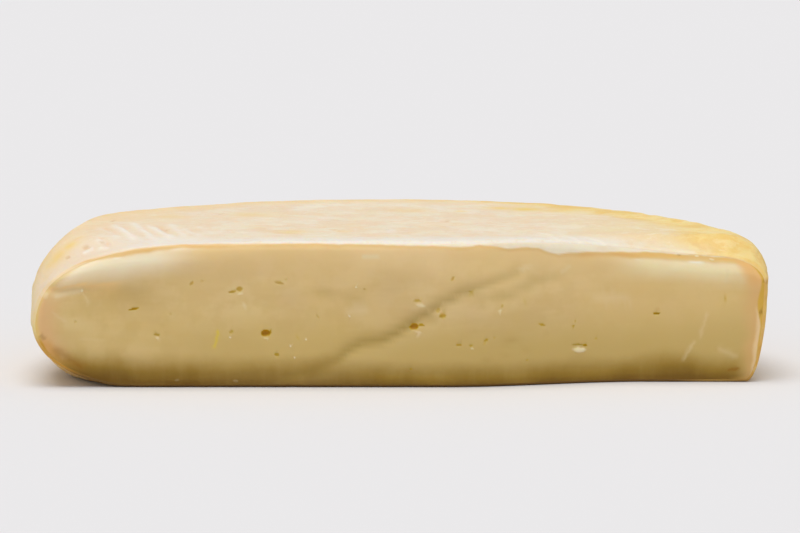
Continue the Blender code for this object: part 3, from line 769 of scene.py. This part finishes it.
class Paint:
    """A material whose nodes are made by one method."""

    def __init__(self, name):
        self.material = bpy.data.materials.new(name)
        self.material.use_nodes = True
        self.tree = self.material.node_tree
        self.shader = self.tree.nodes["Principled BSDF"]
        self.place = self.node("ShaderNodeTexCoord", output="Object")
        self.colour = None

    def node(self, kind, settings=None, inputs=None, output=0):
        """Add a node: its settings first, then the values or links of its sockets."""
        made = self.tree.nodes.new(kind)
        for name, value in (settings or {}).items():
            setattr(made, name, value)
        for name, value in (inputs or {}).items():
            self.feed(made.inputs[name], value)
        return Value(self, made.outputs[output])

    def feed(self, socket, value):
        if isinstance(value, Value):
            self.tree.links.new(value.socket, socket)
        elif socket.type == "RGBA":
            socket.default_value = (*linear(value), 1.0)
        else:
            socket.default_value = value

    def mask(self, name):
        return self.node("ShaderNodeAttribute", {"attribute_name": name}, output="Fac")

    def axis(self, name):
        return self.node("ShaderNodeSeparateXYZ", inputs={0: self.place}, output=name)

    def stretched(self, scale, turn=0.0):
        """Object coordinates scaled and turned about Z."""
        return self.node("ShaderNodeMapping", inputs={
            "Vector": self.place, "Rotation": (0.0, 0.0, turn), "Scale": scale})

    def noise(self, scale, detail=3.0, rough=0.5, vector=None):
        return self.node("ShaderNodeTexNoise", inputs={
            "Vector": vector or self.place, "Scale": scale, "Detail": detail, "Roughness": rough})

    def mix(self, share, first, second):
        """A colour between two colours."""
        return self.node("ShaderNodeMix", {"data_type": "RGBA"}, {0: share, 6: first, 7: second}, 2)

    def lay(self, share, colour):
        """Lay a colour over what is painted so far."""
        self.colour = self.mix(share, self.colour, colour)

    def bump(self, height, strength, distance):
        made = self.node("ShaderNodeBump", inputs={
            "Height": height, "Strength": strength, "Distance": distance})
        self.feed(self.shader.inputs["Normal"], made)

    def set(self, inputs):
        for name, value in inputs.items():
            self.feed(self.shader.inputs[name], value)


def colour_ends(paint, wobble):
    """Warmer paste and the thin rind at both ends of the cut face, with a painted highlight down the rounded
    right edge.
    """
    z = paint.axis("Z")
    left_gap, right_gap = paint.mask("left_gap"), paint.mask("right_gap")
    edge_gap = paint.mask("edge_gap")
    pink_left = (left_gap + wobble * 2.0).ramp(8.5, 2.0) * z.ramp(0.026, 0.02)
    paint.lay(pink_left * 0.75, (231, 187, 134))
    rim_left = (left_gap + wobble * 0.9).ramp(1.3, 0.2) * z.ramp(0.0245, 0.021)
    paint.lay(rim_left * 0.8, (232, 202, 122))
    low_left = left_gap.ramp(16.0, 10.0) * z.ramp(0.0135, 0.0105)
    tawny = (edge_gap + wobble * 0.8).ramp(4.6, 2.4) * low_left
    paint.lay(tawny * 0.7, (214, 160, 82))
    golden = (edge_gap + wobble * 0.6).ramp(1.3, 0.4) * low_left
    paint.lay(golden * 0.9, (204, 150, 24))
    band = (right_gap + wobble * 1.6).ramp(6.5, 1.5)
    paint.lay(band * 0.7, (227, 183, 122))
    peach = (right_gap + wobble * 1.2).ramp(6.0, 3.0) * z.ramp(0.0225, 0.0265)
    paint.lay(peach * 0.8, (240, 192, 122))
    # painted highlight down the rounded right edge of the face
    painted_shine = (right_gap + wobble * 0.9).ramp(2.3, 1.2) * z.ramp(0.02, 0.018)
    paint.lay(painted_shine * 0.6, (247, 224, 178))
    drawn = z.ramp(0.014, 0.019, 0.0, 0.9) - z.ramp(0.02, 0.027, 0.0, 0.9)
    strip = (right_gap + wobble * 0.5 - drawn).ramp(0.9, 0.3)
    paint.lay(strip * 0.85, (222, 178, 58))


def colour_foot_shade(paint, broad, cloud):
    """Painted shade: the foot darkens downwards in two steps, over a thin paler edge here and there."""
    x, z = paint.axis("X"), paint.axis("Z")
    left_gap, right_gap = paint.mask("left_gap"), paint.mask("right_gap")
    drips = paint.noise(260.0, 3.0, 0.6, paint.stretched((1.0, 1.0, 0.22)))
    wobble = cloud * 2.0 - 1.0
    sway = broad * 2.0 - 1.0
    foot_shade_left = left_gap.ramp(34.0, 10.0, 0.0, 0.0016)
    lift = x.ramp(-0.022, -0.01, 0.0, 0.0013) * x.ramp(0.06, 0.052)
    lift = lift - x.ramp(0.06, 0.067, 0.0, 0.0009) * x.ramp(0.078, 0.071)
    foot_shade_height = z + wobble * 0.0012 + sway * 0.0024 + lift - foot_shade_left
    foot_shade_end = right_gap.ramp(2.0, 7.5, 0.16, 1.0)
    grain = (drips + cloud * 0.4).ramp(0.42, 0.8, 0.8, 0.94)
    calm = x.ramp(-0.053, -0.042) * x.ramp(-0.004, -0.014)
    grain = grain * (1.0 - calm * 0.24)
    # painted shade: the foot darkens in two steps towards the floor
    paint.lay(foot_shade_height.ramp(0.0092, 0.003) * foot_shade_end * grain, (162, 128, 36))
    paint.lay(foot_shade_height.ramp(0.005, 0.0004) * foot_shade_end * grain, (122, 88, 16))
    sole = (z + wobble * 0.001).ramp(0.0016, 0.0006) * broad.ramp(0.5, 0.66)
    paint.lay(sole * x.ramp(0.054, 0.064, 0.28, 0.12), (190, 150, 70))
    corner = (z + wobble * 0.0008).ramp(0.002, 0.001) * right_gap.ramp(8.0, 5.0)
    paint.lay(corner * 0.3, (218, 172, 84))


def colour_marks(paint, cloud):
    """The crease's painted shade and its ledge's painted highlight, streaks, flecks, flakes, eyes and the
    white hem of the cut face; streaks, flakes and hem are partly painted highlight, the eyes partly painted
    shade.
    """
    x = paint.axis("X")
    # painted highlight on the ledge below the crease, then painted shade in the crease
    paint.lay(paint.mask("ledge_highlight") * 0.12, (224, 202, 146))
    paint.lay(paint.mask("shade") * 0.66, (168, 138, 62))
    # pale streaks, one of them a painted highlight on the facet under the left hollow
    paint.lay(paint.mask("streak_and_gleam") * 0.7, (240, 222, 180))
    paint.lay(paint.mask("amber"), (154, 104, 8))
    paint.lay(paint.mask("fleck") * 0.75, (226, 202, 70))
    # pale flakes and crumbs, partly painted highlight
    paint.lay(paint.mask("flake_and_glint"), (244, 230, 194))
    # amber stain in the eyes, darker in the deep ones as painted shade
    eye_stain_and_shade = paint.mix(paint.mask("eye"), (214, 184, 0), (184, 130, 0))
    paint.lay(paint.mask("eye").ramp(0.0, 0.7), eye_stain_and_shade)
    rule = paint.mix(x.ramp(0.055, 0.065), (228, 182, 108), (236, 192, 108))
    paint.lay(paint.mask("line") * 0.8, rule)
    # the white hem of rind over the cut's top edge, its brightness partly painted highlight
    hem = paint.mix(cloud.ramp(0.35, 0.6), (241, 227, 199), (247, 236, 211))
    paint.colour = paint.mix(paint.mask("bare"), hem, paint.colour)


def make_paste():
    """Moist straw-coloured paste: tan under the rind, pale on the rolls partly as painted highlight, darker
    olive towards the foot as painted shade.
    """
    paint = Paint("cheese_paste")
    x, z = paint.axis("X"), paint.axis("Z")
    broad = paint.noise(42.0, 2.0)
    cloud = paint.noise(130.0, 3.0, 0.55)
    fine = paint.noise(420.0, 3.0, 0.6)
    smear = paint.noise(90.0, 3.0, 0.6, paint.stretched((0.35, 1.0, 1.6)))
    wobble = cloud * 2.0 - 1.0
    sway = broad * 2.0 - 1.0

    paint.colour = paint.mix(broad.ramp(0.34, 0.66), (224, 195, 130), (216, 188, 134))
    paint.lay(smear.ramp(0.4, 0.68) * 0.6, (231, 206, 148))
    paint.lay(cloud.ramp(0.58, 0.4) * 0.32, (206, 174, 104))
    paint.lay(x.ramp(0.035, 0.065) * 0.6, (228, 197, 128))
    # painted shade: the face darkens towards the bottom, less so at the left end
    low = (z + sway * 0.004).ramp(0.022, 0.009) * x.ramp(-0.066, -0.045, 0.35, 1.0)
    low = low * x.ramp(-0.02, 0.01, 0.8, 1.0)
    paint.lay(low, (206, 178, 108))
    wash = x.ramp(-0.02, -0.006) * x.ramp(0.018, 0.006)
    tan = paint.mix(wash, (247, 215, 156), (252, 222, 168))
    paint.lay(paint.mask("tan") * 0.85, tan)
    verge = paint.mask("verge") * x.ramp(0.025, 0.05, 0.55, 0.38)
    paint.lay(verge, (226, 188, 120))
    # the rolls' cream, partly painted highlight, then a painted highlight along their crests
    lower = paint.mix(x.ramp(0.0, 0.02), (253, 237, 205), (254, 235, 188))
    cream = paint.mix(paint.mask("deep"), (249, 231, 197), lower)
    smeared = (smear + fine * 0.15).ramp(0.36, 0.6, 0.75, 1.0)
    paint.lay(paint.mask("pillow_tone_and_highlight") * smeared, cream)
    paint.lay(paint.mask("painted_gleam") * 0.8, (255, 247, 230))
    # painted shade in the dimples
    paint.lay(paint.mask("dimple_shade") * 0.45, (190, 156, 82))
    # the hollow's orange tint, painted lighter as painted light against its own shade
    paint.lay(paint.mask("hollow") * 0.65, (248, 209, 140))

    colour_ends(paint, wobble)
    colour_foot_shade(paint, broad, cloud)
    colour_marks(paint, cloud)

    paint.set({"Base Color": paint.colour, "Roughness": fine.ramp(0.3, 0.7, 0.38, 0.5),
               "Specular IOR Level": 0.25, "Subsurface Weight": 0.45,
               "Subsurface Radius": GLOW_RADIUS, "Subsurface Scale": 0.0018})
    paint.bump(fine * 0.35 + smear * 0.8, 0.3, 0.0004)
    return paint.material


def colour_top(paint, patch, crumb, smear, fold):
    """Cream and peach top of the rind, whiter beside the cut and yellow along the rim."""
    x = paint.axis("X")
    behind, rim_gap = paint.mask("behind"), paint.mask("rim_gap")
    wobble = patch * 2.0 - 1.0
    speckle = crumb * 2.0 - 1.0
    paint.colour = paint.mix(patch.ramp(0.42, 0.58), (241, 216, 182), (239, 223, 194))
    paint.lay(x.ramp(-0.04, -0.07) * 0.5, (243, 216, 180))
    paint.lay((x + wobble * 0.015).ramp(0.03, 0.08), (241, 214, 156))
    paint.lay(fold.ramp(0.54, 0.62) * 0.3, (243, 212, 168))
    paint.lay(fold.ramp(0.44, 0.36) * 0.3, (243, 232, 214))
    paint.lay(smear.ramp(0.54, 0.64) * 0.36, (248, 236, 214))
    paint.lay(smear.ramp(0.43, 0.35) * 0.26, (242, 218, 162))
    paint.lay(crumb.ramp(0.56, 0.66) * 0.32, (249, 238, 220))
    paint.lay(crumb.ramp(0.42, 0.34) * 0.26, (226, 194, 152))
    paint.lay(paint.mask("valley") * 0.95, (237, 190, 136))
    back = (rim_gap + wobble * 3.0).ramp(20.0, 6.0) * behind.ramp(8.0, 20.0)
    paint.lay(back * 0.6, (247, 213, 154))
    yellow = (rim_gap + wobble * 5.0 - x.ramp(0.0, 0.085) * 20.0).ramp(9.0, -2.0)
    gold = paint.mix((patch + speckle * 0.1).ramp(0.42, 0.6), (240, 200, 108), (245, 216, 138))
    gold = paint.mix(smear.ramp(0.56, 0.64) * 0.5, gold, (250, 228, 164))
    gold = paint.mix(smear.ramp(0.42, 0.34) * 0.5, gold, (234, 186, 84))
    paint.lay(yellow * 0.9, gold)
    snow = paint.mix(x.ramp(-0.058, -0.08), (239, 232, 219), (238, 216, 188))
    inland = behind + wobble * 6.0 + speckle * 2.5 + x.ramp(0.046, 0.066, 0.0, 4.5)
    inland = inland - x.ramp(-0.04, -0.056, 0.0, 4.5)
    white = inland.ramp(14.0, 4.0) * x.ramp(0.062, 0.046, 0.55, 0.88)
    white = white * crumb.ramp(0.34, 0.52, 0.6, 1.0) * x.ramp(0.084, 0.071)
    paint.lay(white, snow)
    paint.lay(paint.mask("ridge") * 0.95, (248, 239, 226))
    paint.lay(paint.mask("arc") * 0.7, (250, 241, 222))
    paint.lay(paint.mask("blush"), (243, 207, 116))
    return paint.colour


def colour_side(paint, patch, crumb, smear):
    """Yellow-orange side of the rind, paler at its left end."""
    broad = paint.noise(38.0, 3.0)
    paint.colour = paint.mix(broad.ramp(0.35, 0.65), (240, 202, 108), (230, 184, 84))
    paint.lay(patch.ramp(0.5, 0.72) * 0.55, (243, 218, 152))
    paint.lay(smear.ramp(0.44, 0.36) * 0.45, (216, 160, 60))
    paint.lay(crumb.ramp(0.56, 0.64) * 0.35, (250, 226, 160))
    paint.lay(paint.mask("wrinkle") * 0.35, (204, 146, 50))
    left_end = paint.axis("X").ramp(-0.07, -0.082) * paint.axis("Z").ramp(0.01, 0.016)
    left_end = left_end * paint.mask("behind").ramp(26.0, 12.0)
    paint.lay(left_end, (238, 212, 146))
    return paint.colour


def make_rind():
    """Washed rind: cream and peach on top, whiter beside the cut, yellow-orange round the side, with painted
    shade along its bottom edge beside the cut.
    """
    paint = Paint("washed_rind")
    x, z = paint.axis("X"), paint.axis("Z")
    up = paint.mask("up")
    behind = paint.mask("behind")
    patch = paint.noise(120.0, 4.0, 0.6)
    crumb = paint.noise(420.0, 3.0, 0.65)
    fine = paint.noise(900.0, 3.0, 0.6)
    smear = paint.noise(150.0, 4.0, 0.62, paint.stretched((0.7, 1.0, 1.0), 0.5))
    fold = paint.noise(90.0, 4.0, 0.65, paint.stretched((1.0, 0.6, 1.0), -0.4))
    pores = paint.node("ShaderNodeTexVoronoi", inputs={"Vector": paint.place, "Scale": 150.0})
    pore = (pores + patch * 0.3).ramp(0.26, 0.14)
    wobble = patch * 2.0 - 1.0
    top = colour_top(paint, patch, crumb, smear, fold)
    side = colour_side(paint, patch, crumb, smear)
    brink = behind.ramp(3.0, 0.8, 0.0, 0.6) * z.ramp(0.022, 0.027)
    over = up + wobble * 0.12 + x.ramp(0.03, -0.02, 0.0, 0.26) + brink
    paint.colour = paint.mix(over.ramp(0.2, 0.8), side, top)
    under = paint.mix(fold.ramp(0.4, 0.6), (230, 192, 122), (236, 206, 146))
    paint.lay(up.ramp(-0.6, -0.95), under)
    paint.lay(paint.mask("pit") * 0.45, (214, 168, 98))
    paint.lay(pore * up.ramp(0.9, 0.4) * 0.5, (190, 128, 56))

    # paste shows at the very edge of the cut
    shown = paint.mix(x.ramp(-0.07, -0.08), (238, 204, 146), (243, 216, 172))
    paint.lay(paint.mask("bare") * up.ramp(-0.2, 0.2), shown)
    paint.lay(paint.mask("line") * 0.8, (230, 184, 112))
    amber = (behind + wobble * 2.0).ramp(9.0, 2.0) * z.ramp(0.014, 0.009)
    amber = amber * x.ramp(-0.07, -0.076)
    paint.lay(amber * 0.9, (204, 148, 30))
    # painted shade along the downward-facing bottom edge beside the cut
    foot = behind.ramp(4.0, 1.0) * up.ramp(-0.1, -0.5) * z.ramp(0.006, 0.002)
    paint.lay(foot * x.ramp(0.068, 0.08, 1.0, 0.5), (128, 92, 26))

    paint.set({"Base Color": paint.colour, "Roughness": patch.ramp(0.3, 0.7, 0.48, 0.62),
               "Subsurface Weight": 0.4, "Subsurface Radius": GLOW_RADIUS, "Subsurface Scale": 0.0015})
    paint.bump(smear * 1.2 + crumb * 0.5 + fine * 0.2 - pore * 0.8, 0.45, 0.0005)
    return paint.material


# ---------------------------------------------------------------- stage


def make_floor():
    """A plain pale floor."""
    bm = bmesh.new()
    bmesh.ops.create_grid(bm, x_segments=1, y_segments=1, size=FLOOR_SIZE)
    mesh = bpy.data.meshes.new("floor")
    bm.to_mesh(mesh)
    bm.free()
    paint = Paint("pale_floor")
    paint.shader.inputs["Base Color"].default_value = (0.8, 0.79, 0.8, 1.0)
    paint.set({"Roughness": 1.0, "Specular IOR Level": 0.0})
    mesh.materials.append(paint.material)
    add_object("floor", mesh)


def add_sun(name, towards, strength, spread):
    """A soft light from far away: the direction it comes from, its power and its width."""
    data = bpy.data.lights.new(name, "SUN")
    data.energy = strength
    data.angle = math.radians(spread)
    light = add_object(name, data)
    light.rotation_euler = (-Vector(towards)).to_track_quat("-Z", "Y").to_euler()


def make_lights():
    """A wide soft light from above, a weak one from the front and an even white room."""
    add_sun("overhead", (-0.1, -0.15, 1.0), 1.75, 45.0)
    add_sun("front_fill", (-0.3, -1.0, 0.45), 0.25, 90.0)
    world = bpy.data.worlds.new("studio")
    world.use_nodes = True
    background = world.node_tree.nodes["Background"]
    background.inputs["Color"].default_value = (1.0, 1.0, 1.0, 1.0)
    background.inputs["Strength"].default_value = 0.45
    bpy.context.scene.world = world
    bpy.context.scene.view_settings.view_transform = "Standard"


def make_camera(shift):
    """The camera in front of the cut; shift is where the wheel's own origin lies."""
    data = bpy.data.cameras.new("camera")
    data.sensor_width = SENSOR
    data.lens = LENS_PIXELS / FRAME_WIDTH * SENSOR
    camera = add_object("camera", data)
    camera.location = (shift[0], shift[1] - CAMERA_DISTANCE, shift[2] + CAMERA_HEIGHT)
    camera.rotation_euler = (math.pi / 2.0 - CAMERA_PITCH, 0.0, 0.0)
    bpy.context.scene.camera = camera


# ---------------------------------------------------------------- the cheese on its stage

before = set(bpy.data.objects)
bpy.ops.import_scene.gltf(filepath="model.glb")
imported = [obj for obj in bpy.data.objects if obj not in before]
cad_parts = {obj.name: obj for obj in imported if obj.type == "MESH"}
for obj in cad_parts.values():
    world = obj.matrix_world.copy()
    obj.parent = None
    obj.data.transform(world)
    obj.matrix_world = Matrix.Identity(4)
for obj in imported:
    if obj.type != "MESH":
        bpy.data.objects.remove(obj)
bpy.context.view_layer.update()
low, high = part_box("cheese")

cheese, shift = make_cheese(low, high)
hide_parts("cheese")
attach(cheese, "root")

make_floor()
make_lights()
make_camera(shift)
